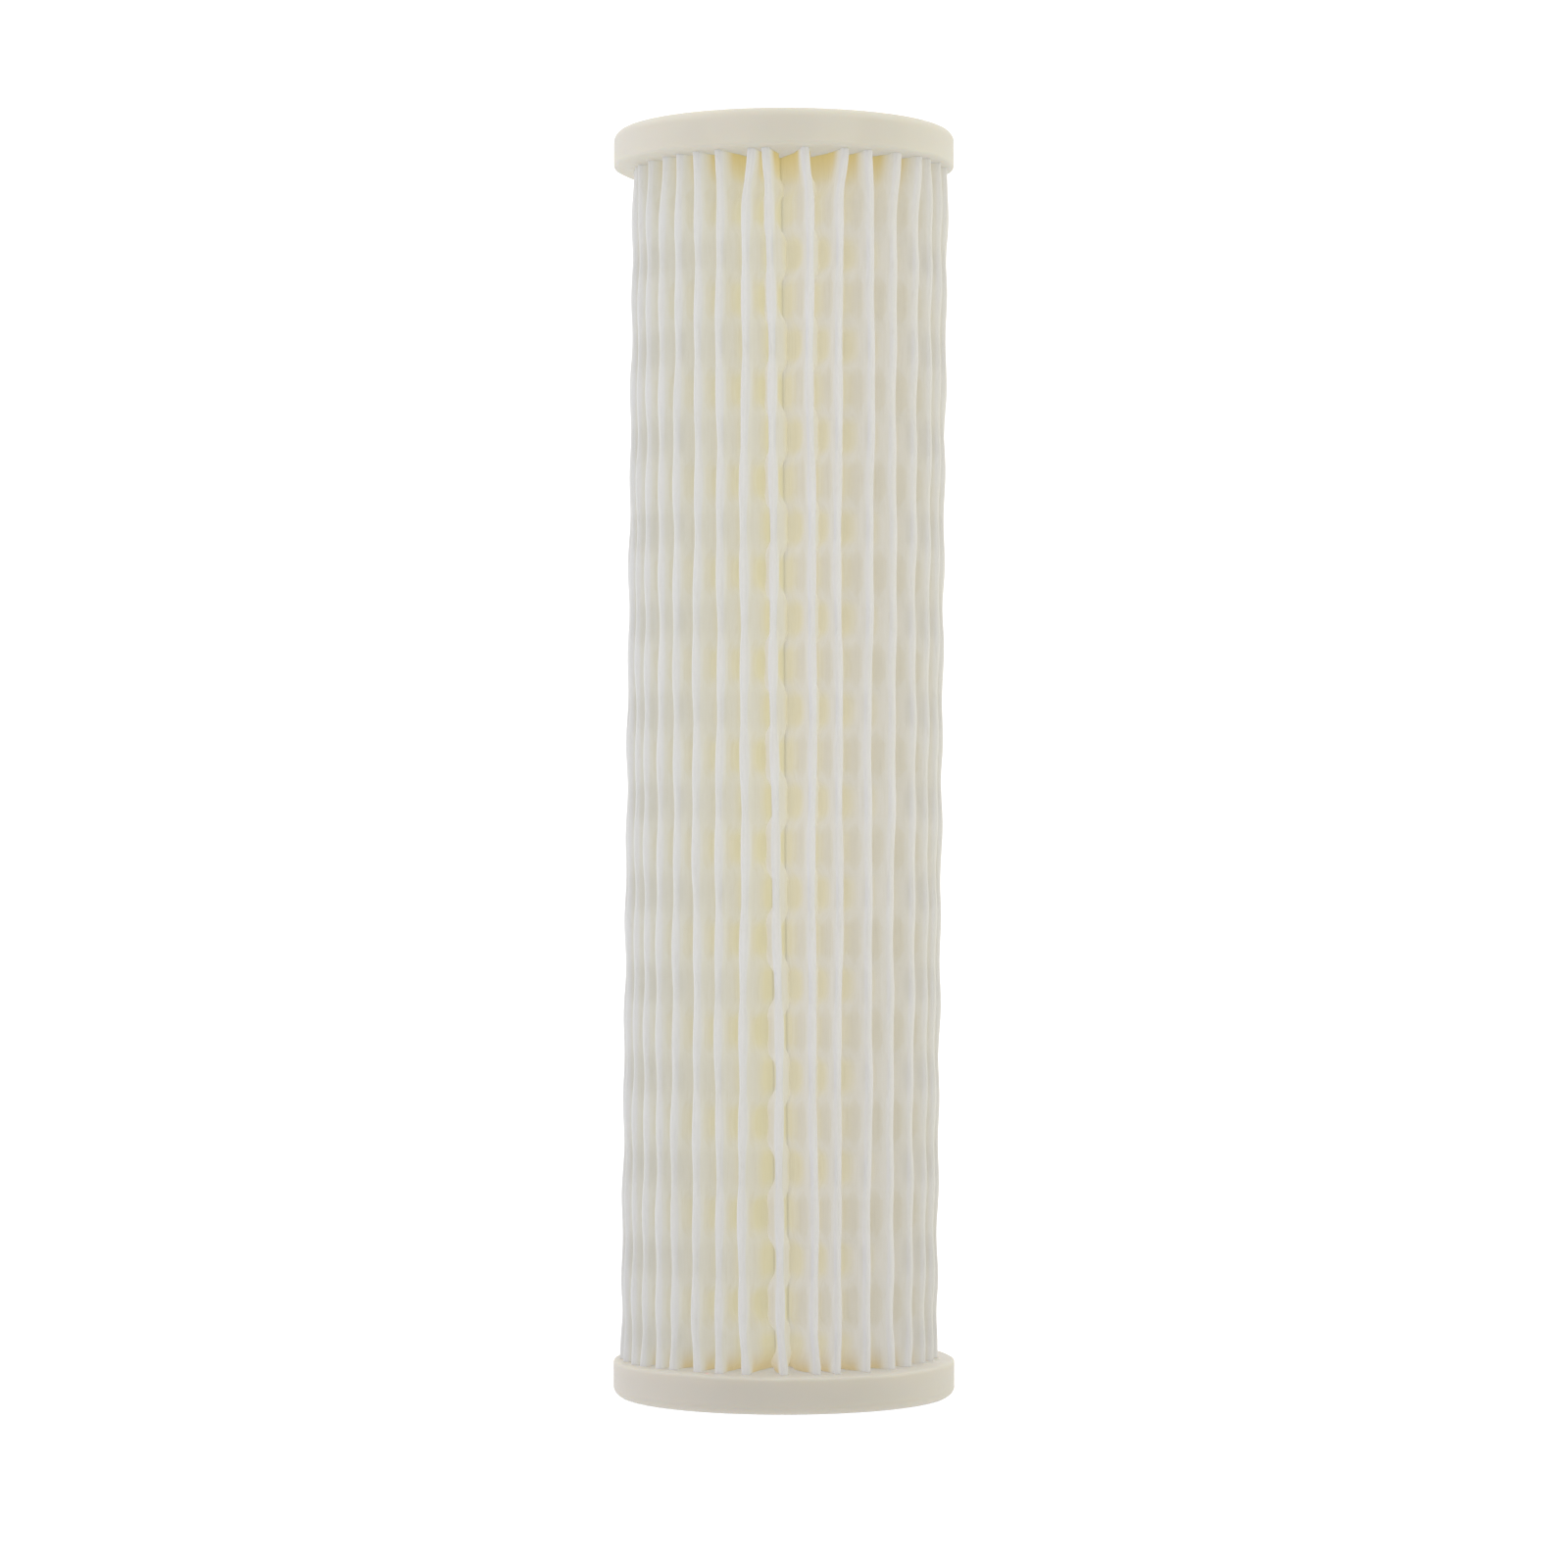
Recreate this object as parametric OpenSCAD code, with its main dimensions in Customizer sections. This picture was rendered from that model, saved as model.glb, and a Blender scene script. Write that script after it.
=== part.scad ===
// Pleated sediment cartridge for an inline water filter housing.
// Standard nominal 2-1/2 in x 10 in size: 67 mm outside diameter, 248 mm long,
// open at both ends. Dirty water reaches the outside of the pleats, passes
// through the sheet and the perforated core, and leaves through the bore.
//
// Frame: millimetres. The origin is the centre of the lower end face, +Z runs
// up the axis of the cartridge, and the side seam of the sheet is on +Y.

/* [Overall] */
// Overall length between the two sealing faces
cart_length = 248; // [120:1:510]
// Outside diameter of the end caps
cap_d = 67; // [66:0.5:72]

/* [End caps] */
// Thickness of each cast vinyl end cap
cap_h = 7.2; // [6.5:0.1:10]
// Diameter of the centre hole that seals over the housing spigot
bore_d = 28; // [26:0.5:28.5]
// Radius of the moulded outer corner at the end face
cap_edge_r = 2; // [1:0.25:3]
// Radius of the small corner beside the pleats
cap_lip_r = 0.6; // [0.3:0.1:1]
// Width of the flat inner land round the centre hole
inner_land_w = 3; // [2.5:0.1:3.5]
// Radius of the line of the moulded sealing bead
bead_r = 20.5; // [20:0.1:21]
// Half width of the sealing bead, which is a rounded ridge
bead_half_w = 1.2; // [0.9:0.1:1.4]
// Depth of the shallow recess either side of the bead
recess_d = 0.8; // [0.4:0.1:1]
// Outside radius of the shallow recess
recess_r = 25; // [24:0.25:26]

/* [Pleated sheet] */
// Number of pleats round the pack
pleats = 34; // [24:1:36]
// Radius over the outer folds
fold_r_out = 31.4; // [30:0.1:31.5]
// Radius inside the inner folds
fold_r_in = 17.1; // [17:0.1:18.5]
// Thickness of the nonwoven sheet
sheet_t = 0.65; // [0.4:0.05:0.8]
// Gap between the two layers inside a fold
fold_gap = 0.5; // [0.3:0.1:0.7]
// Depth of the sheet and core cast into each end cap
embed = 4.5; // [3:0.1:5]

/* [Core] */
// Inside diameter of the perforated core
core_id = 29; // [28.6:0.1:29.4]
// Wall thickness of the core
core_wall = 2; // [1.4:0.1:2.3]
// Height of each window in the core
window_h = 7; // [4:0.5:8]
// Width of each window in the core
window_w = 6; // [3:0.5:7]
// Pitch of the rows of windows along the core
window_pitch = 10.5; // [9.5:0.5:14]
// Number of windows in each row
windows_round = 6; // [4:2:8]

/* [Side seam] */
// Radius where the seam weld starts, inside the pleat
seam_r_in = 23; // [21:0.5:26]

/* [Hidden] */
$fn = 96;
overlap = 0.01;   // overlap between joined parts of a section
overcut = 1;      // how far a cut runs past the material

bore_r = bore_d / 2;
cap_r = cap_d / 2;
bead_clip = 2;    // half width of the square that halves the bead's circle

media_z0 = cap_h - embed;
media_l = cart_length - 2 * media_z0;
fold_mid_r = (sheet_t + fold_gap) / 2;                      // mid-sheet, at every fold
outer_fold_r = fold_r_out - fold_mid_r - sheet_t / 2;       // to the outer fold centres
inner_fold_r = fold_r_in + fold_mid_r + sheet_t / 2;        // to the inner fold centres
fold_steps = 4;   // flats round each fold
last_fold = 2 * pleats;   // fold 0 again, after one full turn
edge_run = 0.55;  // how far each free edge runs past its tangent point on fold 0
seam_angle = 90;  // direction of the seam, +Y

core_r_in = core_id / 2;
core_r_out = core_r_in + core_wall;
window_margin = 3;   // least length between each cap and the band of window rows

// ---- the folded sheet, as one closed outline ------------------------------
// Even folds are outer and odd folds inner, half a pleat apart. The sheet
// starts beside outer fold 0, ends on its other side, and is tangent to every
// fold between. It travels anticlockwise seen from +Z.
// side is +1 for the face on the left of travel and -1 for the right.
function polar(radius, angle) = [radius * cos(angle), radius * sin(angle)];
function left_normal(dir) = [-sin(dir), cos(dir)];
function reversed(points) = [for (i = [len(points) - 1:-1:0]) points[i]];
// Moves angle by whole turns to within half a turn of target.
function unwrap(target, angle) = angle - 360 * round((angle - target) / 360);

// +1 at outer folds, which turn to the left of travel, and -1 at inner folds.
function fold_turn(k) = k % 2 == 0 ? 1 : -1;
function fold_centre(k) =
    polar(k % 2 == 0 ? outer_fold_r : inner_fold_r, seam_angle + k * 360 / pleats / 2);
// Direction, in degrees, of the flank that leaves fold k for fold k + 1.
function flank_dir(k) =
    let (step = fold_centre(k + 1) - fold_centre(k))
    atan2(step[1], step[0]) + fold_turn(k) * asin(2 * fold_mid_r / norm(step));
// Point of fold k on one face of the sheet, where the sheet heads along dir.
function face_point(k, side, dir) =
    let (turn = fold_turn(k), face_r = fold_mid_r - side * turn * sheet_t / 2)
    fold_centre(k) - turn * face_r * left_normal(dir);
function fold_points(k, side) =
    let (dir_in = flank_dir(k - 1), dir_out = unwrap(dir_in, flank_dir(k)))
    [for (i = [0:fold_steps])
        face_point(k, side, dir_in + (dir_out - dir_in) * i / fold_steps)];
// One face from the first inner fold to the last, without the free edges.
function folded_face(side) = [for (k = [1:last_fold - 1]) each fold_points(k, side)];

// The two free edges, one either side of outer fold 0.
function edge_start(side) =
    let (dir = flank_dir(0))
    face_point(0, side, dir) - edge_run * polar(1, dir);
function edge_end(side) =
    let (dir = flank_dir(last_fold - 1))
    face_point(last_fold, side, dir) + edge_run * polar(1, dir);
function sheet_face(side) = concat([edge_start(side)], folded_face(side), [edge_end(side)]);

module sheet_outline() {
    polygon(concat(sheet_face(1), reversed(sheet_face(-1))));
}

// ---- the weld between the sheet's two free edges --------------------------
// Where the line through point along dir meets radius, at the nearer crossing.
function slide_to_radius(point, dir, radius) =
    let (heading = polar(1, dir),
         to_point = point * heading,
         half_chord = sqrt(to_point * to_point - (point * point - radius * radius)),
         back = -to_point - half_chord,
         ahead = -to_point + half_chord)
    point + (abs(back) < abs(ahead) ? back : ahead) * heading;
// Corners of the wedge between the two end flanks, from the free edges in to
// seam_r_in: end edge, start edge, start inner, end inner.
function seam_corners() =
    let (start = edge_start(1), end = edge_end(1))
    [end,
     start,
     slide_to_radius(start, flank_dir(0), seam_r_in),
     slide_to_radius(end, flank_dir(last_fold - 1), seam_r_in)];

module seam_outline() {
    polygon(seam_corners());
}

// The sheet and its seam together, as the ring that they cut in an end cap.
module ring_outline() {
    corners = seam_corners();
    difference() {
        polygon(concat(sheet_face(-1), [corners[0], corners[1]]));
        polygon(concat([corners[2]], folded_face(1), [corners[3]]));
    }
}

// ---- end caps -------------------------------------------------------------
// Half section of a cap with its end face on z = 0 and the pleats above it.
module cap_section() {
    edge_x = cap_r - cap_edge_r;   // centre of the end face corner
    lip_x = cap_r - cap_lip_r;     // centre of the corner beside the pleats
    land_r = bore_r + inner_land_w;
    difference() {
        union() {
            translate([bore_r, 0]) square([edge_x - bore_r, cap_h]);
            translate([edge_x - overlap, cap_edge_r])
                square([cap_edge_r + overlap - cap_lip_r, cap_h - cap_edge_r]);
            translate([lip_x - overlap, cap_edge_r])
                square([cap_lip_r + overlap, cap_h - cap_edge_r - cap_lip_r]);
            translate([edge_x, cap_edge_r]) circle(r = cap_edge_r);
            translate([lip_x, cap_h - cap_lip_r]) circle(r = cap_lip_r);
        }
        // Shallow recess in the end face, either side of the sealing bead.
        polygon([
            [land_r, -overcut],
            [land_r, 0],
            [land_r + recess_d, recess_d],
            [recess_r - recess_d, recess_d],
            [recess_r, 0],
            [recess_r, -overcut]]);
    }
    // Sealing bead: a half circle whose crest is level with the end face.
    intersection() {
        translate([bead_r, bead_half_w]) circle(r = bead_half_w);
        translate([bead_r - bead_clip, 0]) square([2 * bead_clip, bead_half_w]);
    }
}

// The cap is cast round the sheet, the seam and the core, so their ends leave
// their own shapes in it.
module cap() {
    socket_h = embed + overcut;
    difference() {
        rotate_extrude() cap_section();
        translate([0, 0, media_z0]) {
            linear_extrude(socket_h) ring_outline();
            difference() {
                cylinder(r = core_r_out, h = socket_h);
                translate([0, 0, -overcut]) cylinder(r = core_r_in, h = socket_h + 2 * overcut);
            }
        }
    }
}

module bottom_end_cap() {
    color("#e9e4d6") cap();
}

module top_end_cap() {
    color("#ece8dc") translate([0, 0, cart_length]) mirror([0, 0, 1]) cap();
}

// ---- sheet and seam -------------------------------------------------------
module pleated_media() {
    color("#f4f3ee") translate([0, 0, media_z0]) linear_extrude(media_l) sheet_outline();
}

module side_seam() {
    color("#efeada") translate([0, 0, media_z0]) linear_extrude(media_l) seam_outline();
}

// ---- perforated core ------------------------------------------------------
module core_tube() {
    rows = floor((cart_length - 2 * cap_h - 2 * window_margin) / window_pitch);
    first_row_z = (cart_length - (rows - 1) * window_pitch) / 2;
    color("#f7f7f4") difference() {
        translate([0, 0, media_z0]) cylinder(r = core_r_out, h = media_l);
        translate([0, 0, media_z0 - overcut])
            cylinder(r = core_r_in, h = media_l + 2 * overcut);
        // Each bar cuts two opposite windows; alternate rows are staggered.
        for (row = [0:rows - 1], bar = [0:windows_round / 2 - 1])
            translate([0, 0, first_row_z + row * window_pitch])
                rotate([0, 0, (bar + (row % 2) / 2) * 360 / windows_round])
                    cube([3 * core_r_out, window_w, window_h], center = true);
    }
}

top_end_cap();
bottom_end_cap();
pleated_media();
side_seam();
core_tube();
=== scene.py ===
"""A pleated water filter cartridge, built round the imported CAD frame.

It stands upright on its bottom cap, with its axis along Z, its front towards -Y and the side seam
at the back (+Y). Left and right are as seen from the front: -X and +X.
Sizes are in millimetres and become metres when a mesh is made; shaders and the stage use metres.
"""
import math

import bpy
import numpy as np
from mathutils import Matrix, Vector
from mathutils.kdtree import KDTree


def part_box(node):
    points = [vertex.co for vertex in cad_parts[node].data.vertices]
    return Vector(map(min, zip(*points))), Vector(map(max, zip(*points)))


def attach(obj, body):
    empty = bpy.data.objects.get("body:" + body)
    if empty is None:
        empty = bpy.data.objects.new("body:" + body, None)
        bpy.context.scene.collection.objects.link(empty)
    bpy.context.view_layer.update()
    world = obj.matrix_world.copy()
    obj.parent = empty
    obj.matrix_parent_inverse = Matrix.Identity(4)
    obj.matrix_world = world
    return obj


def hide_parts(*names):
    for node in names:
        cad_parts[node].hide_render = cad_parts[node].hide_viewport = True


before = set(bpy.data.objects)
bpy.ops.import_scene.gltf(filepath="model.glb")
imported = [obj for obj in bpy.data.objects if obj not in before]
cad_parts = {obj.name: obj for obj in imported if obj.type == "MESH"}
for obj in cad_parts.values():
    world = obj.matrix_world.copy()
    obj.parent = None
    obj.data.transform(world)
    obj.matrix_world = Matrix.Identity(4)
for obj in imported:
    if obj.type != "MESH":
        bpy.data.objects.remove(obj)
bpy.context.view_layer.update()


# ---------------------------------------------------------------- sizes
def box_mm(node):
    """Lowest and highest corner of a CAD piece."""
    return [np.array(corner) * 1000 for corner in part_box(node)]


bottom_low, bottom_high = box_mm("bottom_end_cap")
media_low, media_high = box_mm("pleated_media")

LENGTH = float(box_mm("top_end_cap")[1][2])     # between the two end faces
CAP_R = float(bottom_high[0])                   # outside radius of the caps
CAP_H = float(bottom_high[2] - bottom_low[2])   # thickness of a cap
SHEET_LOW = float(media_low[2])                 # ends of the sheet, inside the caps
SHEET_TOP = float(media_high[2])
TOP_FACE = LENGTH - CAP_H           # underside of the top cap
MIDDLE = LENGTH / 2
BORE_R = 14.0                       # bore of the caps

PLEATS = 34
FOLD_OUT = 31.4                     # radius over the outer folds
FOLD_IN = 17.1                      # radius inside the inner folds
SHEET = 0.65                        # thickness of the sheet
FOLD_GAP = 0.5                      # gap between the two layers in a fold
FREE_EDGE = 0.55                    # how far the sheet's end flanks run on past their tangent point
LEAN = 1.25                         # how far the pack leans to the right at the top
LEAN_SHIFT = 0.1                    # and how far all of it sits to the right

ROW = 8.765                         # height of one row of the emboss
ROW_Z = 151.2                       # middle of a row that leans towards +phi
EMBOSS_TOP = TOP_FACE - 8.2         # the folds stand open above this
EMBOSS_LOW = CAP_H + 2.2            # and below this
SQUEEZE = 16                        # height over which the last rows are pushed together

SWING = 0.76                        # how far a flank swings either way
BELLY = 0.29                        # how much of the room between two pleats the rows take up
PINCH = 0.55                        # how much more they take up where the rows meet
NECK = 0.17                         # change in a pleat's thickness under its fold, each side

OUTER_POINTS, INNER_POINTS = 5, 4   # mesh points round an outer and an inner fold
FLANK = np.array([0.07, 0.15, 0.25, 0.38, 0.58, 0.82])      # and down a flank, from an outer fold


def smooth(start, end, value):
    """Rises smoothly from 0 at start to 1 at end; start may be the higher of the two."""
    t = np.clip((np.asarray(value, float) - start) / (end - start), 0, 1)
    return t * t * (3 - 2 * t)


# ---------------------------------------------------------------- where the outer folds stand
# phi is an angle in degrees from the front (-Y), positive towards +X. Fold 0 is the seam.
rng = np.random.RandomState(20417)


def spread(start, end, count):
    """The folds between start and end that part it into unequal gaps."""
    gaps = 1 + 0.17 * rng.uniform(-1, 1, count)
    gaps = gaps / gaps.sum() * (end - start)
    return start + np.cumsum(gaps)[:-1]


# phi of each front fold at mid height, and its drift in degrees over the height
front_phi, front_drift = np.array([
    (-60.5, 4.5), (-51.5, 3.2), (-42.8, 3.0), (-33.4, 3.0), (-24.1, 2.8), (-14.7, 2.4), (-3.4, 6.0),
    (9.9, 4.0), (19.8, 3.0), (31.9, 2.2), (42.4, 2.2), (53.8, 2.4), (64.2, 2.4),
]).T
WIDE_GAP = 17                       # the widest gap, in the middle of the front
DRIFT_HEIGHT = 158.0

left_phi = front_phi[0] - np.array([36.3, 26.9, 17.9, 8.8])
left_back = np.concatenate([spread(-180.0, left_phi[0], 7), left_phi])
right_back = spread(front_phi[-1], 180.0, 11)
PHI = np.concatenate([[-180.0], left_back, front_phi, right_back])
DRIFT = np.concatenate([[0.0], np.linspace(0.6, 4.0, 10), front_drift, np.linspace(2.0, 0.6, 10)])

END_TOP = rng.uniform(-1.0, 1.0, PLEATS) * 2.6      # each fold's lean at the top cap, degrees
END_LOW = rng.uniform(-1.0, 1.0, PLEATS) * 1.6      # and at the bottom cap
END_TOP[0] = END_LOW[0] = 0.0
WIDTH = 1 + 0.12 * rng.uniform(-1, 1, PLEATS)       # each fold's own width
TIP = rng.uniform(-0.22, 0.0, PLEATS)               # each fold's own height
EASE = np.random.RandomState(77).uniform(0.84, 1.10, PLEATS)    # each gap's share of the emboss


# ---------------------------------------------------------------- mesh helpers
def link_object(name, mesh):
    piece = bpy.data.objects.new(name, mesh)
    bpy.context.scene.collection.objects.link(piece)
    return piece


def quad_mesh(name, points_mm, quads):
    """A smooth object made of quads only."""
    mesh = bpy.data.meshes.new(name)
    points = (np.asarray(points_mm, float) / 1000).astype(np.float32)
    quads = np.asarray(quads, np.int32)
    mesh.vertices.add(len(points))
    mesh.vertices.foreach_set("co", points.ravel())
    mesh.loops.add(quads.size)
    mesh.loops.foreach_set("vertex_index", quads.ravel())
    mesh.polygons.add(len(quads))
    mesh.polygons.foreach_set("loop_start", np.arange(0, quads.size, 4, dtype=np.int32))
    mesh.polygons.foreach_set("loop_total", np.full(len(quads), 4, np.int32))
    mesh.polygons.foreach_set("use_smooth", np.full(len(quads), True, bool))
    mesh.update(calc_edges=True)
    mesh.validate(verbose=False)
    return link_object(name, mesh)


def face_mesh(name, points_m, faces):
    """A smooth object made of any faces, with its points in metres."""
    mesh = bpy.data.meshes.new(name)
    mesh.from_pydata(points_m, [], faces)
    mesh.polygons.foreach_set("use_smooth", [True] * len(mesh.polygons))
    mesh.update()
    return link_object(name, mesh)


def grid_quads(ids, flip=False):
    """Quads over a 2D array of vertex numbers."""
    corners = [ids[:-1, :-1], ids[:-1, 1:], ids[1:, 1:], ids[1:, :-1]]
    quads = np.stack(corners, -1).reshape(-1, 4)
    return quads[:, ::-1] if flip else quads


def with_heights(points, z):
    """Turns (level, column, xy) points into a flat list of xyz."""
    heights = np.repeat(z[:, None], points.shape[1], 1)
    return np.concatenate([points, heights[..., None]], -1).reshape(-1, 3)


def arc(centre_x, centre_y, radius, start, end, steps):
    """Points on an arc, its angles in degrees."""
    angles = [math.radians(start + (end - start) * i / steps) for i in range(steps + 1)]
    return [(centre_x + radius * math.cos(a), centre_y + radius * math.sin(a)) for a in angles]


# ---------------------------------------------------------------- rows of the emboss
def rows(z):
    """Heights counted in rows, from the middle of a row that leans towards +phi.
    The last rows before the caps are pushed together, so that whole rows fit."""
    top = (EMBOSS_TOP - ROW_Z) / ROW
    low = (EMBOSS_LOW - ROW_Z) / ROW
    t = (z - ROW_Z) / ROW
    t = t + (math.floor(top) + 0.5 - top) * smooth(EMBOSS_TOP - SQUEEZE, EMBOSS_TOP, z)
    return t + (math.ceil(low) - 0.5 - low) * smooth(EMBOSS_LOW + SQUEEZE, EMBOSS_LOW, z)


def wave(t):
    """+1 where the flanks lean towards +phi, -1 where they lean back, with quick turns between."""
    return np.tanh(1.9 * np.cos(np.pi * t)) / math.tanh(1.9)


def row_turn(t):
    """1 where one row turns into the next, 0 in the middle of a row."""
    return np.abs(np.sin(np.pi * t)) ** 3.6


def mesh_levels():
    """Heights of the mesh levels: close together where one row turns into the next."""
    in_row = np.array([0, 0.20, 0.36, 0.46, 0.54, 0.60, 0.66, 0.73, 0.82]) - 0.5
    by_caps = [SHEET_LOW, *(CAP_H + d for d in (-2.0, -0.4, 0.5, 1.0, 1.5, 2.0)),
               *(TOP_FACE + d for d in (2.0, 0.4, -0.5, -1.5, -3.0, -4.2)), SHEET_TOP]
    dense = np.linspace(CAP_H, EMBOSS_TOP + 4, 20000)
    count = rows(dense)
    whole = np.arange(math.floor(count[0]) - 1, math.ceil(count[-1]) + 2)
    wanted = (whole[:, None] + in_row[None]).ravel()
    wanted = wanted[(wanted > count[0]) & (wanted < count[-1])]
    kept = []
    for level in sorted(by_caps + np.interp(wanted, count, dense).tolist()):
        if not kept or level - kept[-1] > 0.30:
            kept.append(level)
    kept[-1] = SHEET_TOP
    return np.array(kept)


# ---------------------------------------------------------------- the folded sheet
def alternate(outer, inner):
    """Puts values for outer and inner folds in turn along a level, ending on fold 0 again."""
    both = np.empty((len(outer), 2 * PLEATS + 1))
    both[:, 0:-1:2] = outer
    both[:, 1::2] = inner
    both[:, -1] = both[:, 0]
    return both


def fold_centres(z):
    """Angles (radians, in the XY plane), radii and half widths of the folds at heights z.
    Each is an array (level, fold), and the even folds are the outer ones."""
    height = z[:, None]
    fold = np.arange(PLEATS)[None]
    near_top = smooth(TOP_FACE - 11, TOP_FACE, z)[:, None]
    near_low = smooth(CAP_H + 9, CAP_H, z)[:, None]
    phi = PHI[None] + DRIFT[None] * (MIDDLE - height) / DRIFT_HEIGHT
    phi = phi + END_TOP[None] * near_top + END_LOW[None] * near_low
    # a slow wander of each fold over the height, still at the caps
    free_low = smooth(CAP_H, CAP_H + 25, z)[:, None]
    free = free_low * smooth(TOP_FACE, TOP_FACE - 25, z)[:, None]
    phi = phi + 0.35 * np.sin(height / 19.0 + 2.1 * fold) * free
    phi = phi + 0.22 * np.sin(height / 7.3 + 4.7 * fold) * free
    phi[:, 0] = -180.0
    # inner folds stand between the halfway line of their neighbours and an even spacing
    following = np.concatenate([phi[:, 1:], phi[:, :1] + 360.0], 1)
    even = -180.0 + (fold + 0.5) * 360.0 / PLEATS
    inner = 0.5 * (phi + following)
    inner = 0.55 * inner + 0.45 * even
    inner[:, WIDE_GAP] -= 3.5
    angle = alternate(phi, inner)
    angle[:, -1] += 360.0
    # half widths, to the middle of the sheet
    half = (SHEET + FOLD_GAP) / 2
    half_width = alternate(np.repeat(0.80 * half * WIDTH[None], len(z), 0), 0.95 * half)
    # the tips rise and fall a little from row to row, which makes the outline lumpy
    lump = 0.16 * np.sin(np.pi * rows(z)[:, None] + 0.9 + 0.35 * fold)
    lump = lump + 0.07 * np.sin(height / 5.1 + 1.7 * fold)
    tip = FOLD_OUT - 0.2 + TIP[None] + lump
    radius = alternate(tip - half_width[:, 0:-1:2] - SHEET / 2,
                       FOLD_IN + half_width[:, 1::2] + SHEET / 2)
    return np.radians(angle - 90.0), radius, half_width


def emboss(points, z, flank_sign, span, ease):
    """Embosses the flanks and lets the pack sit a little off centre in its caps.
    flank_sign has the side of the pleat of each column; span and ease belong to its gap."""
    x, y = points[..., 0], points[..., 1]
    radius = np.hypot(x, y)
    angle = np.arctan2(y, x)
    depth = FOLD_OUT - radius
    t = rows(z)
    # half the clear space between two pleats, narrowing towards the core
    room = np.minimum(span * FOLD_OUT / 2 - 0.8, 1.85) * ease
    room = room + (0.2 - room) * np.clip(depth / 13.8, 0, 1)
    # no emboss by the caps; the pinch between rows reaches a little higher than the rest
    under_top = 1 - smooth(EMBOSS_TOP, EMBOSS_TOP + 3.6, z)
    over_low = 1 - smooth(EMBOSS_LOW, CAP_H, z)
    pinch_top = 1 - smooth(EMBOSS_TOP + 1.5, EMBOSS_TOP + 4.2, z)
    swing = SWING * wave(t) * under_top * over_low
    belly = BELLY * under_top * over_low + PINCH * row_turn(t) * pinch_top * over_low
    swing = swing[:, None] * smooth(1.9, 5.2, depth) * (1 - smooth(9.5, 13.4, depth))
    belly = belly[:, None] * room * smooth(2.4, 5.8, depth) * (1 - smooth(7.4, 12.2, depth))
    # right under the fold a pleat is thinner in one row and thicker in the next
    neck = -NECK * (wave(t) * under_top * over_low)[:, None]
    neck = neck * np.exp(-(((depth - 1.6) / 0.9) ** 2))
    angle = angle + (swing + flank_sign[None] * (belly + neck)) / radius
    lean = LEAN * (z - MIDDLE) / MIDDLE + LEAN_SHIFT
    x = radius * np.cos(angle) + lean[:, None] * smooth(17.6, 24.0, radius)
    return np.stack([x, radius * np.sin(angle)], -1)


def sheet_face(z, side):
    """One face of the sheet as points (level, column, xy).
    side is 1 for the face that is inside at an outer fold and -1 for the other."""
    angle, radius, half_width = fold_centres(z)
    centre = np.stack([radius * np.cos(angle), radius * np.sin(angle)], -1)
    last = 2 * PLEATS
    bend = np.where(np.arange(last + 1) % 2 == 0, 1.0, -1.0)    # +1 at outer folds
    # headings of the flanks, each tangent to the folds at its two ends
    step = centre[:, 1:] - centre[:, :-1]
    widths = half_width[:, 1:] + half_width[:, :-1]
    tilt = bend[None, :-1] * np.arcsin(widths / np.linalg.norm(step, axis=-1))
    heading = np.arctan2(step[..., 1], step[..., 0]) + tilt
    columns, flank_sign, gap = [], [], []

    def put(points, sign, gap_number):
        columns.append(points)
        flank_sign.append(sign)
        gap.append(gap_number)

    def on_fold(k, direction):
        """The point of fold k where the sheet runs in this direction."""
        reach = bend[k] * (half_width[:, k] - side * bend[k] * SHEET / 2)
        normal = np.stack([-np.sin(direction), np.cos(direction)], -1)
        return centre[:, k] - reach[:, None] * normal

    def free_edge(direction):
        return FREE_EDGE * np.stack([np.cos(direction), np.sin(direction)], -1)

    for k in range(last + 1):
        before, after = (k - 1) // 2, k // 2        # gaps on either side of the fold
        if k == 0:
            start = on_fold(k, heading[:, 0])
            put(start - free_edge(heading[:, 0]), 1, after)
            put(start, 1, after)
        elif k == last:
            end = on_fold(k, heading[:, -1])
            put(end, -1, before)
            put(end + free_edge(heading[:, -1]), -1, before)
        else:
            arriving, leaving = heading[:, k - 1], heading[:, k]
            leaving = leaving - 2 * np.pi * np.round((leaving - arriving) / (2 * np.pi))
            count = OUTER_POINTS if k % 2 == 0 else INNER_POINTS
            for i in range(count):
                f = i / (count - 1)
                put(on_fold(k, arriving + (leaving - arriving) * f),
                    bend[k] * np.sign(f - 0.5), before if f < 0.5 else after)
        if k < last:
            start, end = on_fold(k, heading[:, k]), on_fold(k + 1, heading[:, k])
            for f in FLANK if k % 2 == 0 else 1 - FLANK[::-1]:
                put(start + (end - start) * f, bend[k], after)

    span = angle[:, 2::2] - angle[:, :-2:2]         # between the outer folds beside each gap
    return emboss(np.stack(columns, 1), z, np.array(flank_sign), span[:, gap], EASE[gap])


LEVELS = mesh_levels()
IN = sheet_face(LEVELS, 1)
OUT = sheet_face(LEVELS, -1)


def build_sheet():
    """Both faces of the sheet, closed along its ends and its free edges."""
    ids_in = np.arange(IN.shape[0] * IN.shape[1]).reshape(IN.shape[:2])
    ids_out = ids_in + ids_in.size
    quads = [grid_quads(ids_out), grid_quads(ids_in, flip=True)]
    for row, flip in ((0, True), (-1, False)):
        quads.append(grid_quads(np.stack([ids_out[row], ids_in[row]]), flip=flip))
    for column, flip in ((0, False), (-1, True)):
        quads.append(grid_quads(np.stack([ids_out[:, column], ids_in[:, column]]), flip=flip))
    points = np.concatenate([with_heights(IN, LEVELS), with_heights(OUT, LEVELS)])
    return quad_mesh("embossed_pleated_sheet", points, np.concatenate(quads))


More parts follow.
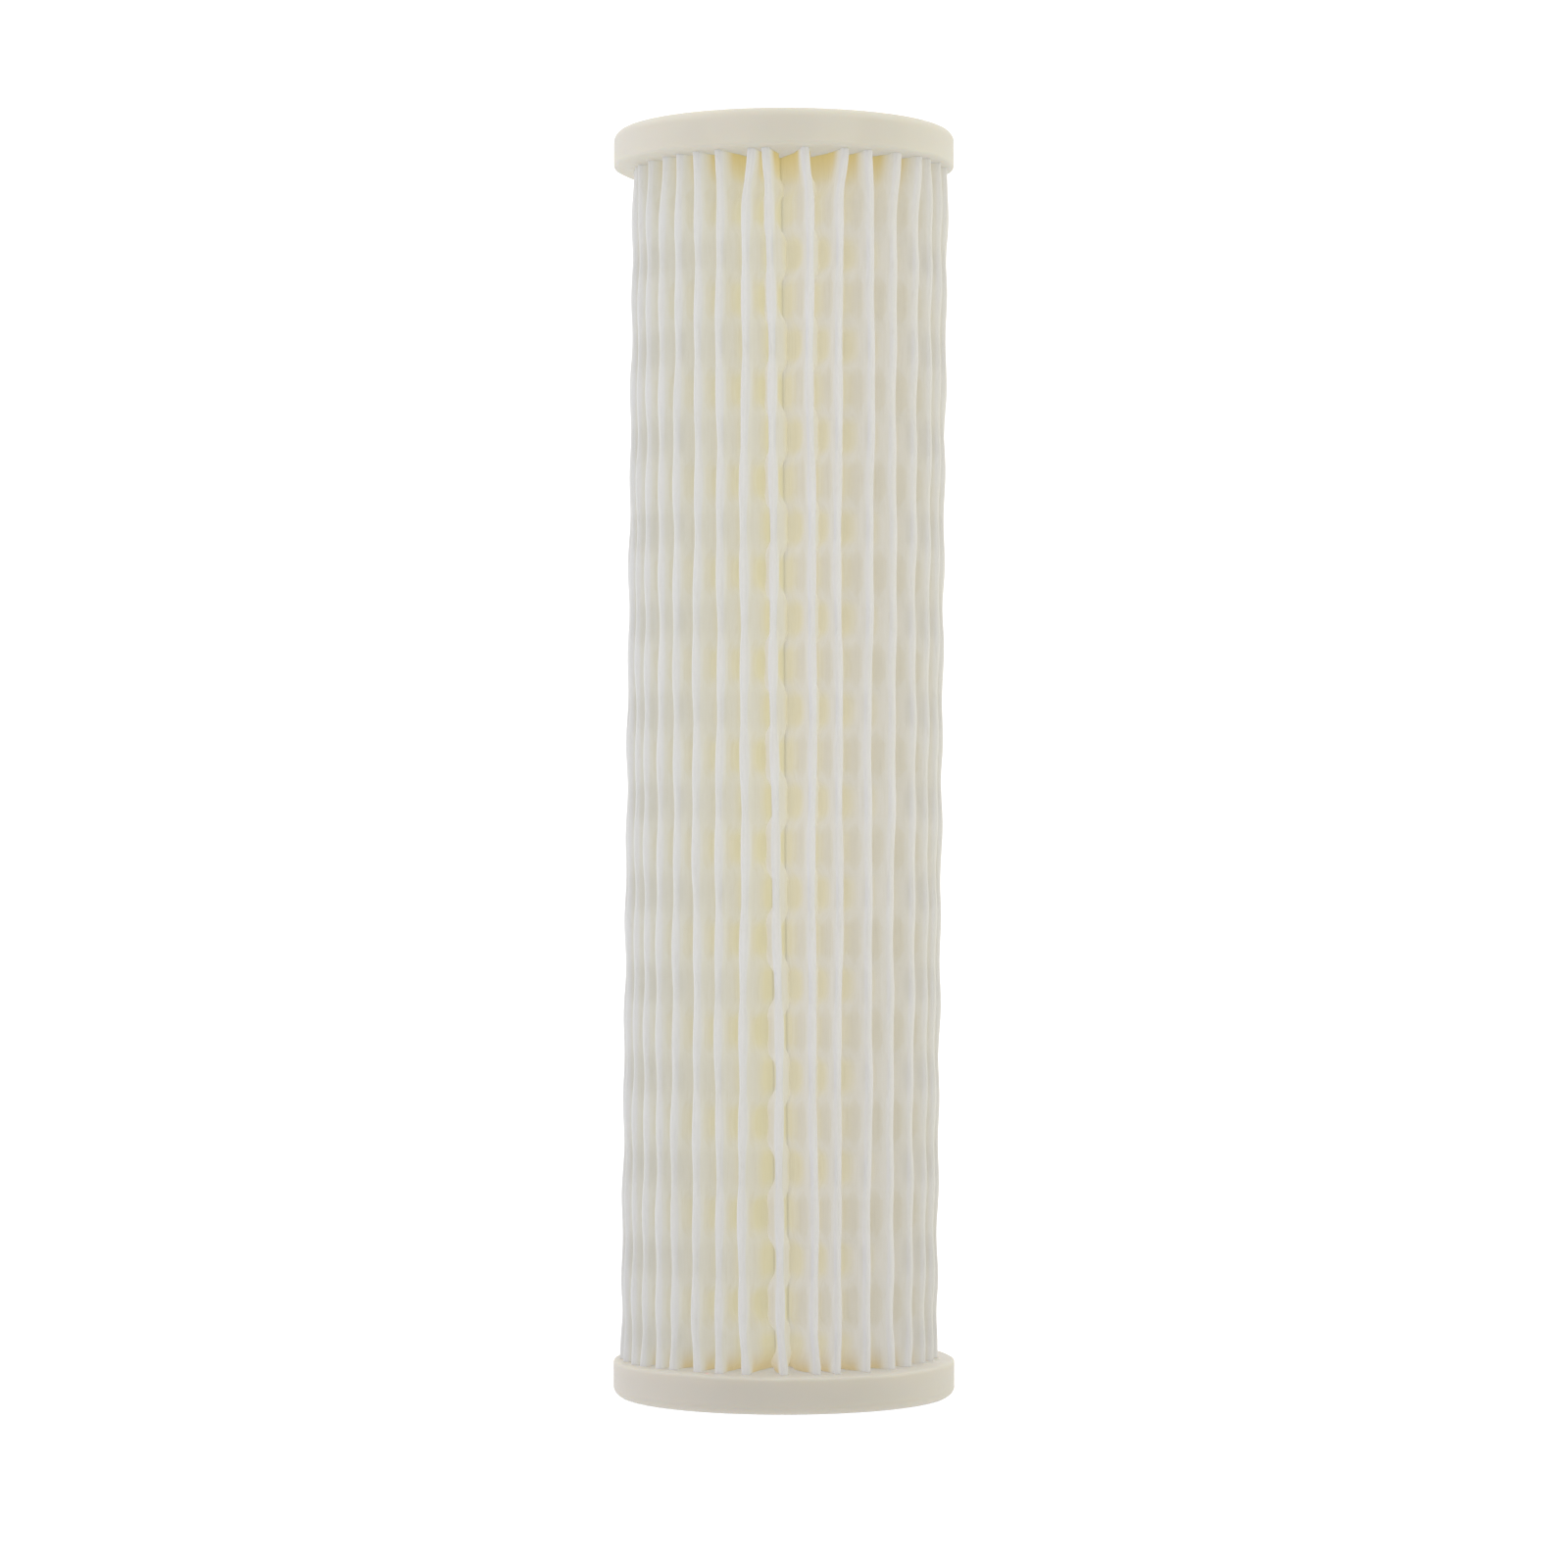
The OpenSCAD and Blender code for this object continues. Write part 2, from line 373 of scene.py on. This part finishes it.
def build_seam():
    """A bead of hot-melt that fills the wedge between the sheet's two end flanks."""
    z = LEVELS
    deep = 5                            # free edge, tangent point and three points down the flank
    left, right = IN[:, :deep], IN[:, ::-1][:, :deep]
    middle = (left + right) / 2
    # a hair inside the two faces, so that no two surfaces lie on each other
    left, right = middle + (left - middle) * 0.985, middle + (right - middle) * 0.985
    # the bead stands a little proud of the edges, in a slightly uneven line
    proud = 0.12 + 0.08 * np.sin(z / 3.7) + 0.05 * np.sin(z / 1.9 + 1.0)
    outward = middle[:, 0] / np.linalg.norm(middle[:, 0], axis=-1, keepdims=True)
    crown = middle[:, 0] + outward * proud[:, None]
    foot = middle[:, -1] - outward * 0.35
    ring = np.concatenate([left[:, ::-1], crown[:, None], right, foot[:, None]], 1)
    ids = np.arange(ring.shape[0] * ring.shape[1]).reshape(ring.shape[:2])
    faces = grid_quads(np.concatenate([ids, ids[:, :1]], 1), flip=True).tolist()
    for row, flip in ((ids[0].tolist(), True), (ids[-1].tolist(), False)):
        a, b = row[:deep][::-1], row[deep + 1:-1]
        end = [[a[i], a[i + 1], b[i + 1], b[i]] for i in range(deep - 1)]
        end += [[row[deep], a[0], b[0]], [a[-1], row[-1], b[-1]]]
        faces += [face[::-1] for face in end] if flip else end
    return face_mesh("side_seam_bead", (with_heights(ring, z) / 1000).tolist(), faces)


# ---------------------------------------------------------------- end caps
RECESS = 0.8                        # depth of the ring sunk in the end face
RIDGE_AT, RIDGE_R = 20.5, 1.2       # round ridge in the middle of the recess
RIM_R = 2.0                         # rounding of the outer edge
CAP_STEPS = 816                     # mesh steps round a cap


def cap_section():
    """Half section of a cap as a closed loop of (radius, height above its end face)."""
    # bore mouth and the inner land of the end face
    loop = arc(BORE_R + 0.5, 0.5, 0.5, 180, 270, 4)
    loop += [(BORE_R + 1.2, 0), (BORE_R + 2.0, 0), (BORE_R + 2.75, 0)]
    loop += arc(BORE_R + 2.75, 0.25, 0.25, -90, -45, 2)[1:]
    # recess with its ridge
    loop += [(BORE_R + 3.55, 0.72), (BORE_R + 3.95, RECESS), (RIDGE_AT - 1.6, RECESS)]
    loop += [(RIDGE_AT - 1.34, 0.72)]
    loop += arc(RIDGE_AT, RIDGE_R, RIDGE_R, 205, 335, 10)
    loop += [(RIDGE_AT + 1.34, 0.72), (RIDGE_AT + 1.6, RECESS), (23.0, RECESS), (24.05, RECESS)]
    loop += [(24.4, 0.74), (25.0, 0.15), (25.35, 0.02), (25.8, 0)]
    # outer land, rim and wall
    loop += [(27.2, 0), (29.4, 0)]
    loop += arc(CAP_R - RIM_R, RIM_R, RIM_R, -90, 0, 8)
    loop += [(CAP_R, height) for height in (2.6, 3.6, 4.6, 5.6, CAP_H - 0.75)]
    loop += arc(CAP_R - 0.55, CAP_H - 0.55, 0.55, 12, 90, 4)
    # across the face in the pack, fine enough for the meniscus round every fold
    radii = np.concatenate([np.linspace(CAP_R - 0.85, 31.9, 4), np.arange(31.6, 28.0, -0.24),
                            np.linspace(27.8, 16.8, 26)])
    loop += [(radius, CAP_H) for radius in radii]
    loop += [(16.2, CAP_H), (15.0, CAP_H)]
    # down the bore
    loop += arc(BORE_R + 0.3, CAP_H - 0.3, 0.3, 90, 180, 2)
    loop += [(BORE_R, height) for height in (CAP_H - 1.2, CAP_H / 2, 1.6, 0.8)]
    return np.array(loop)


def sheet_tree(level):
    """A search tree over the middle of the sheet at about this height."""
    row = int(np.argmin(abs(LEVELS - level)))
    middle = (IN[row] + OUT[row]) / 2
    step = middle[1:] - middle[:-1]
    fine = np.concatenate([middle[:-1] + step * f for f in (0, 0.25, 0.5, 0.75)])
    tree = KDTree(len(fine))
    for number, (x, y) in enumerate(fine):
        tree.insert((x, y, 0.0), number)
    tree.balance()
    return tree


def build_cap(name, top):
    section = cap_section()
    angle = (np.arange(CAP_STEPS) * 2 * np.pi / CAP_STEPS)[:, None]
    radius = np.repeat(section[None, :, 0], CAP_STEPS, 0)
    height = np.repeat(section[None, :, 1], CAP_STEPS, 0)
    in_pack = height > CAP_H - 0.05
    # the casting isn't perfectly true: slow waves on the pack side and the rim
    phase = 1.0 if top else 2.0
    waves = 0.07 * np.sin(3 * angle + phase) + 0.05 * np.sin(7 * angle + 2.3 * phase)
    waves = waves + 0.03 * np.sin(17 * angle + 0.7 * phase)
    waves = np.where(height > CAP_H * 0.6, waves - 0.1, 0)
    height = height + waves * smooth(CAP_H * 0.6, CAP_H, height)
    shrink = 0.04 + 0.035 * np.sin(5 * angle + phase) + 0.02 * np.sin(13 * angle + 2 * phase)
    radius = radius - np.where((height > 1.9) & (radius > CAP_R - 1.2), shrink, 0)
    x, y = radius * np.cos(angle), radius * np.sin(angle)
    # vinyl creeps up the sheet a little where the pleats enter the cap
    tree = sheet_tree(TOP_FACE if top else CAP_H)
    rise = np.zeros_like(height)
    for at in map(tuple, np.argwhere(in_pack & (radius < 32.6) & (radius > 16.5))):
        distance = tree.find((x[at], y[at], 0.0))[2] - SHEET / 2
        boost = 1.6 if radius[at] < 30.4 else 1.0
        rise[at] = 0.30 * math.exp(-max(distance, 0.0) / 0.38) * boost
    height = height + rise
    z = LENGTH - height if top else height
    ids = np.arange(z.size).reshape(z.shape)
    ids = np.concatenate([ids, ids[:1]], 0)
    ids = np.concatenate([ids, ids[:, :1]], 1)
    return quad_mesh(name, np.stack([x, y, z], -1).reshape(-1, 3), grid_quads(ids, flip=not top))


sheet = build_sheet()
seam = build_seam()
bottom_cap = build_cap("cast_vinyl_cap_bottom", top=False)
top_cap = build_cap("cast_vinyl_cap_top", top=True)


# ---------------------------------------------------------------- node helper
class Shader:
    """Short ways to build the node tree of a material or world."""

    def __init__(self, owner, output="OutputMaterial"):
        self.owner = owner
        owner.use_nodes = True
        self.tree = owner.node_tree
        self.tree.nodes.clear()
        self.output = self.add(output)

    def put(self, socket, value):
        """Links a socket to an input, or sets the input to a value."""
        if isinstance(value, bpy.types.NodeSocket):
            self.tree.links.new(value, socket)
        elif socket.type == "RGBA":
            socket.default_value = (*value, 1.0)
        else:
            socket.default_value = value

    def add(self, kind, *inputs, **named):
        """A node. Inputs go by place, or by name with a capital; lower case names are settings."""
        node = self.tree.nodes.new("ShaderNode" + kind)
        for key in filter(str.islower, named):
            setattr(node, key, named[key])
        for place, value in enumerate(inputs):
            self.put(node.inputs[place], value)
        for key, value in named.items():
            if not key.islower():
                self.put(node.inputs[key.replace("_", " ")], value)
        return node

    def calc(self, operation, *values):
        return self.add("Math", *values, operation=operation).outputs[0]

    def position(self, scale=(1, 1, 1)):
        """Object coordinates in metres, scaled."""
        coords = self.add("TexCoord")
        return self.add("Mapping", Vector=coords.outputs["Object"], Scale=scale).outputs["Vector"]

    def noise(self, vector, scale, detail, rough, distortion=0.0):
        return self.add("TexNoise", Vector=vector, Scale=scale, Detail=detail, Roughness=rough,
                        Distortion=distortion).outputs["Fac"]

    def ramp(self, fac, *stops):
        """A colour ramp with stops (position, colour)."""
        node = self.add("ValToRGB", Fac=fac)
        elements = node.color_ramp.elements
        while len(elements) < len(stops):
            elements.new(0.5)
        for element, (place, colour) in zip(elements, stops):
            element.position = place
            element.color = (*colour, 1.0)
        return node.outputs["Color"]

    def map_range(self, value, source, target=(0.0, 1.0)):
        return self.add("MapRange", Value=value, From_Min=source[0], From_Max=source[1],
                        To_Min=target[0], To_Max=target[1]).outputs["Result"]

    def mix(self, factor, first, second, blend="MIX"):
        node = self.add("Mix", factor, data_type="RGBA", blend_type=blend)
        self.put(node.inputs[6], first)         # the two colour inputs
        self.put(node.inputs[7], second)
        return node.outputs[2]

    def tint(self, base, colour):
        return self.mix(1.0, base, colour, "MULTIPLY")

    def bump(self, height, strength, distance):
        return self.add("Bump", Height=height, Strength=strength,
                        Distance=distance).outputs["Normal"]

    def surface(self, kind, *inputs, **named):
        return self.add(kind, *inputs, **named).outputs[0]

    def finish(self, surface):
        self.put(self.output.inputs["Surface"], surface)
        return self.owner


# ---------------------------------------------------------------- materials
WHITE = (1.0, 1.0, 1.0)


def paint_cell_shade(s, tone, under, off_plus, off_minus, cloud):
    """The cells embossed in the flanks, with painted shade in their middles: right under the folds
    in one row, deeper in the next.
    off_plus and off_minus are distances from the middles of the two kinds of row."""
    def cell(off, centre, half):
        """0 in the middle of a cell, about 1 at its edge."""
        taper = s.calc("MAXIMUM", s.calc("SUBTRACT", off, 0.27), 0.0)
        taper = s.calc("DIVIDE", taper, 0.33)
        across = s.calc("ABSOLUTE", s.calc("SUBTRACT", under, centre))
        return s.calc("ADD", s.calc("DIVIDE", across, half), taper)

    uneven = s.calc("MULTIPLY", s.calc("SUBTRACT", cloud, 0.5), 0.35)
    # row distance, depth of the cell's middle and half its size (mm), painted shade of its middle
    for off, centre, half, hollow_shade in (
        (off_plus, 1.30, 1.10, (0.991, 0.990, 0.987)),
        (off_minus, 3.7, 2.25, (0.982, 0.973, 0.940)),
    ):
        edge = s.map_range(s.calc("ADD", cell(off, centre, half), uneven), source=(0.0, 2.0))
        # painted shade: the middle of each cell is painted darker, and the deeper kind also
        # yellower
        cell_shade = s.ramp(edge, (0.0, hollow_shade), (0.34, hollow_shade), (0.46, WHITE), (0.55, WHITE),
                         (0.72, (0.995, 0.995, 0.994)))
        tone = s.tint(tone, cell_shade)
    return tone


def polyester():
    """Embossed nonwoven polyester: matt, cloudy, fibrous, and warm where light comes through; the
    light and shade between its folds are painted into its colour.
    """
    s = Shader(bpy.data.materials.new("embossed_polyester"))
    place = s.position()
    cloud = s.noise(place, scale=420, detail=5, rough=0.6)      # clumps of fibre, about 2 mm
    fibre = s.noise(s.position((1, 1, 0.35)), scale=2600, detail=6, rough=0.7, distortion=1.2)
    cross = s.noise(s.position((0.5, 0.5, 1)), scale=3400, detail=5, rough=0.7, distortion=0.8)
    # how deep under the folds a point lies, in mm, with the pack's lean taken out
    x, y, z = s.add("SeparateXYZ", place).outputs
    lean = s.calc("MULTIPLY_ADD", z, LEAN / MIDDLE, (LEAN_SHIFT - LEAN) / 1000)
    x_true = s.calc("SUBTRACT", x, lean)
    squares = s.calc("ADD", s.calc("MULTIPLY", x_true, x_true), s.calc("MULTIPLY", y, y))
    under = s.calc("MULTIPLY_ADD", s.calc("SQRT", squares), -1000.0, FOLD_OUT)
    # painted light: light that has been through more sheet is yellower, and this is painted into
    # the colour, which deepens towards the core
    depth = s.map_range(under, source=(0.2, 11.4))
    tone = s.ramp(depth, (0.0, (0.978, 0.983, 1.000)), (0.050, (0.981, 0.983, 0.996)),
                  (0.100, (0.986, 0.976, 0.928)), (0.32, (0.986, 0.967, 0.898)),
                  (0.48, (0.988, 0.957, 0.822)), (0.65, (0.990, 0.950, 0.765)),
                  (1.0, (0.990, 0.950, 0.755)))
    # height in pairs of rows, folded into the distance from the middle of a row
    pair = s.calc("MULTIPLY_ADD", z, 500.0 / ROW, 0.5 - ROW_Z / ROW / 2)
    fraction = s.calc("FRACT", pair)
    off_plus = s.calc("ABSOLUTE", s.calc("MULTIPLY_ADD", fraction, 2.0, -1.0))
    off_minus = s.calc("SUBTRACT", 1.0, off_plus)
    # painted shade in the cells of the emboss
    tone = paint_cell_shade(s, tone, under, off_plus, off_minus, cloud)
    # painted light: between the folds the flanks nearly touch where one row turns into the next,
    # and the sheet is painted paler there
    off_turn = s.calc("ABSOLUTE", s.calc("SUBTRACT", off_plus, 0.5))
    meet_light = s.map_range(off_turn, source=(0.04, 0.24), target=(1.0, 0.0))
    meet_light = s.calc("MULTIPLY", meet_light, s.map_range(depth, source=(0.20, 0.36)))
    tone = s.mix(s.calc("MULTIPLY", meet_light, 0.62), tone, (0.984, 0.968, 0.905))
    # painted light: the sheet is painted a shade cooler on the left and warmer on the right
    side = s.map_range(x, source=(-0.031, 0.031))
    tone = s.tint(tone, s.ramp(side, (0.0, (0.992, 0.996, 1.0)), (0.25, (0.995, 0.996, 0.992)),
                               (0.72, (0.997, 0.995, 0.990)), (1.0, (1.0, 0.992, 0.960))))
    # painted shade: deeper yellow by the caps, which keep the light out
    above = s.calc("MULTIPLY",
                   s.map_range(z, source=(LENGTH / 1000 - 0.0165, LENGTH / 1000 - 0.0075)),
                   s.map_range(depth, source=(0.10, 0.40)))
    below = s.calc("MULTIPLY", s.map_range(z, source=(0.0078, 0.0122), target=(1.0, 0.0)),
                   s.map_range(depth, source=(0.09, 0.30)))
    tone = s.mix(s.calc("POWER", above, 1.5), tone, (0.930, 0.800, 0.400))
    tone = s.mix(s.calc("POWER", below, 1.5), tone, (0.920, 0.800, 0.520))
    # painted shade: the sheet is painted a little greyer towards the foot
    tone = s.tint(tone, s.ramp(s.map_range(z, source=(0.010, 0.110)),
                               (0.0, (0.962, 0.960, 0.965)), (0.4, (0.981, 0.980, 0.980)),
                               (1.0, WHITE)))
    base = s.tint(tone, s.ramp(cloud, (0.30, (0.992, 0.990, 0.980)), (0.70, WHITE)))
    base = s.tint(base, s.ramp(fibre, (0.35, (0.990, 0.988, 0.98)), (0.65, WHITE)))
    # faint streaks and finer creases along the folds
    streak = s.noise(s.position((1, 1, 0.05)), scale=800, detail=3, rough=0.6)
    base = s.tint(base, s.ramp(streak, (0.36, (0.984, 0.981, 0.970)), (0.60, WHITE)))
    crease = s.noise(s.position((1, 1, 0.11)), scale=1500, detail=4, rough=0.62, distortion=0.6)
    base = s.tint(base, s.ramp(crease, (0.30, (0.966, 0.962, 0.950)),
                               (0.46, (0.994, 0.994, 0.992)), (0.70, (1.006, 1.006, 1.008))))
    clumps = s.calc("MULTIPLY", cloud, 0.5)
    fibres = s.calc("ADD", s.calc("MULTIPLY", fibre, 0.6), s.calc("MULTIPLY", cross, 0.35))
    normal = s.bump(s.calc("ADD", clumps, fibres), strength=0.35, distance=0.00012)
    skin = s.surface("BsdfPrincipled", Base_Color=base, Roughness=0.92, Specular_IOR_Level=0.12,
                     Normal=normal)
    through = s.surface("BsdfTranslucent", Color=s.tint(base, (1.0, 0.995, 0.97)), Normal=normal)
    return s.finish(s.surface("MixShader", 0.5, skin, through))


def vinyl(name, colour):
    """Cast plastisol: cream, soft looking, with a satin skin and a few pinholes."""
    s = Shader(bpy.data.materials.new(name))
    place = s.position()
    slow = s.noise(place, scale=55, detail=3, rough=0.5)
    fine = s.noise(place, scale=900, detail=4, rough=0.6)
    base = s.ramp(slow, (0.30, tuple(c * 0.965 for c in colour)), (0.70, colour))
    # pinholes at the cell centres, only where a slow noise is high
    cells = s.add("TexVoronoi", Vector=place, Scale=260).outputs["Distance"]
    pin = s.map_range(cells, source=(0.0, 0.07), target=(1.0, 0.0))
    gate = s.calc("GREATER_THAN", s.noise(place, scale=140, detail=2, rough=0.5), 0.63)
    pin = s.calc("MULTIPLY", pin, gate)
    # painted shade: each pinhole is painted darker
    base = s.mix(s.calc("MULTIPLY", pin, 0.25), base, tuple(c * 0.8 for c in colour))
    relief = s.calc("ADD", s.calc("MULTIPLY", slow, 1.0), s.calc("MULTIPLY", fine, 0.12))
    relief = s.calc("SUBTRACT", relief, s.calc("MULTIPLY", pin, 0.6))
    return s.finish(s.surface(
        "BsdfPrincipled", Base_Color=base, Specular_IOR_Level=0.4,
        Roughness=s.map_range(fine, source=(0.3, 0.7), target=(0.42, 0.56)),
        Subsurface_Weight=0.35, Subsurface_Radius=(1.0, 0.75, 0.45), Subsurface_Scale=0.0035,
        Normal=s.bump(relief, strength=0.28, distance=0.00035)))


def polypropylene():
    """Natural moulded polypropylene: milky, lightly glossy, with flow marks."""
    s = Shader(bpy.data.materials.new("core_polypropylene"))
    flow = s.noise(s.position((1, 1, 0.25)), scale=160, detail=4, rough=0.55, distortion=0.6)
    fine = s.noise(s.position(), scale=1500, detail=4, rough=0.6)
    relief = s.calc("ADD", s.calc("MULTIPLY", flow, 0.6), s.calc("MULTIPLY", fine, 0.2))
    skin = s.surface(
        "BsdfPrincipled",
        Base_Color=s.ramp(flow, (0.3, (0.80, 0.80, 0.77)), (0.7, (0.86, 0.86, 0.84))),
        Roughness=s.map_range(flow, source=(0.3, 0.7), target=(0.34, 0.48)),
        Normal=s.bump(relief, strength=0.2, distance=0.0002))
    through = s.surface("BsdfTranslucent", Color=(0.9, 0.88, 0.8))
    return s.finish(s.surface("MixShader", 0.25, skin, through))


def hot_melt():
    """The seam's bead: slightly amber, glossy, uneven."""
    s = Shader(bpy.data.materials.new("seam_hot_melt"))
    uneven = s.noise(s.position((1, 1, 0.5)), scale=500, detail=4, rough=0.6)
    return s.finish(s.surface(
        "BsdfPrincipled",
        Base_Color=s.ramp(uneven, (0.3, (0.80, 0.74, 0.56)), (0.7, (0.86, 0.82, 0.68))),
        Roughness=s.map_range(uneven, source=(0.3, 0.7), target=(0.25, 0.45)),
        Normal=s.bump(uneven, strength=0.3, distance=0.0002)))


def assign(piece, material):
    """Puts one material in every slot."""
    if not piece.material_slots:
        piece.data.materials.append(material)
    for slot in piece.material_slots:
        slot.material = material


assign(sheet, polyester())
# the two caps are one cast vinyl; the bottom cap's colour is painted darker, painted shade at the
# foot
assign(top_cap, vinyl("cast_vinyl_top", (0.775, 0.738, 0.622)))
assign(bottom_cap, vinyl("cast_vinyl_bottom_painted_shade", (0.696, 0.656, 0.560)))
assign(seam, hot_melt())
assign(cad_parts["core_tube"], polypropylene())

for piece, node, slot in (
    (sheet, "pleated_media", "filter_sheet"),
    (top_cap, "top_end_cap", "vinyl_caps"),
    (bottom_cap, "bottom_end_cap", "vinyl_caps"),
    (seam, "side_seam", "seam_weld"),
):
    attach(piece, "root")
    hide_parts(node)

# ---------------------------------------------------------------- stage, in metres
scene = bpy.context.scene
scene.view_settings.view_transform = "Standard"
scene.view_settings.look = "None"
scene.view_settings.exposure = 0.0
scene.view_settings.gamma = 1.0


def floor_material():
    """Seen only by the camera and only from above; all other light passes through."""
    s = Shader(bpy.data.materials.new("pale_floor"))
    rays = s.add("LightPath")
    diffuse = s.surface("BsdfDiffuse", Color=(0.92, 0.92, 0.91))
    glow = s.surface("Emission", Color=WHITE, Strength=0.62)
    pale = s.surface("AddShader", diffuse, glow)
    above = s.calc("SUBTRACT", 1.0, s.add("NewGeometry").outputs["Backfacing"])
    seen = s.calc("MULTIPLY", rays.outputs["Is Camera Ray"], above)
    return s.finish(s.surface("MixShader", seen, s.surface("BsdfTransparent"), pale))


def build_floor():
    """A flat floor that curves up into a backdrop."""
    bend_y, bend_r = 0.6, 0.7
    drop = 0.00002                      # keeps the floor just below the bottom cap
    profile = [(-1.6, 0.0), (bend_y, 0.0)]
    profile += arc(bend_y, bend_r, bend_r, -90, 0, 12)[1:]
    profile += [(bend_y + bend_r, 2.6)]
    across = np.linspace(-2.4, 2.4, 13)
    points = [(x, y, z - drop) for x in across for y, z in profile]
    ids = np.arange(len(points)).reshape(len(across), len(profile))
    # each quad starts at its low corner and goes across first
    floor = face_mesh("floor", points, grid_quads(ids)[:, [0, 3, 2, 1]].tolist())
    floor.data.materials.append(floor_material())


def build_world():
    """Soft light from all round, as in a white tent, weaker from the camera's side and from
    below and bluer from the left. The camera itself sees plain white."""
    strength, front_dip, upright = 0.980, 0.462, 0.04
    blue, blue_side = 1.015, 0.06       # blue against the other channels, and its fall to +X
    world = bpy.data.worlds.new("studio")
    scene.world = world
    s = Shader(world, "OutputWorld")
    x, y, z = s.add("SeparateXYZ", s.add("TexCoord").outputs["Generated"]).outputs
    front = s.calc("MAXIMUM", s.calc("MULTIPLY", y, -1.0), 0.0)
    front = s.calc("POWER", front, 1.6)
    dimmed = s.calc("SUBTRACT", 1.0, s.calc("MULTIPLY", front, front_dip))
    level = s.calc("MULTIPLY", dimmed, s.calc("ADD", 1.0, s.calc("MULTIPLY", z, upright)))
    red = s.calc("MULTIPLY", level, strength)
    green = s.calc("MULTIPLY", level, strength)
    fall = s.calc("MULTIPLY", x, blue_side * strength)
    blue = s.calc("MULTIPLY", level, s.calc("SUBTRACT", blue * strength, fall))
    colour = s.add("CombineXYZ", red, green, blue).outputs[0]
    tent = s.surface("Background", Color=colour, Strength=1.0)
    plain = s.surface("Background", Color=WHITE, Strength=1.0)
    seen = s.add("LightPath").outputs["Is Camera Ray"]
    s.finish(s.surface("MixShader", seen, tent, plain))
    # light that has bounced once is taken from the open sky within this distance
    world.light_settings.distance = 0.00016
    world.light_settings.ao_factor = 1.0


def build_softbox(name, location, target, size, power):
    """A square area light that faces its target."""
    light = bpy.data.lights.new(name, "AREA")
    light.shape = "RECTANGLE"
    light.size = light.size_y = size
    light.energy = power
    softbox = bpy.data.objects.new(name, light)
    softbox.location = location
    softbox.rotation_mode = "QUATERNION"
    aim = Vector(target) - Vector(location)
    softbox.rotation_quaternion = aim.to_track_quat("-Z", "Y")
    scene.collection.objects.link(softbox)


def build_camera():
    """In front, nearly level, a little under the top of the pack and tilted slightly up."""
    lens = bpy.data.cameras.new("camera")
    lens.sensor_width = 36.0
    lens.lens = 103.32
    lens.clip_start, lens.clip_end = 0.05, 20
    camera = bpy.data.objects.new("camera", lens)
    camera.location = (0, -0.885, 0.1086)
    camera.rotation_euler = (math.radians(90.727), 0, 0)
    scene.collection.objects.link(camera)
    scene.camera = camera


build_floor()
build_world()
centre = (0, 0, LENGTH / 2000)
build_softbox("softbox_left", (-1.1, 0.35, 0.7), centre, size=0.9, power=0.8)
build_softbox("softbox_right", (1.1, 0.35, 0.7), centre, size=0.9, power=0.8)
build_softbox("softbox_above", (0, -0.35, 0.55), (0, 0, 0.2), size=0.5, power=0.55)

# light passes from fold to fold many times before it comes out again
scene.cycles.max_bounces = 12
scene.cycles.diffuse_bounces = 6
scene.cycles.use_fast_gi = True
scene.cycles.fast_gi_method = "REPLACE"
scene.cycles.ao_bounces_render = 1

build_camera()
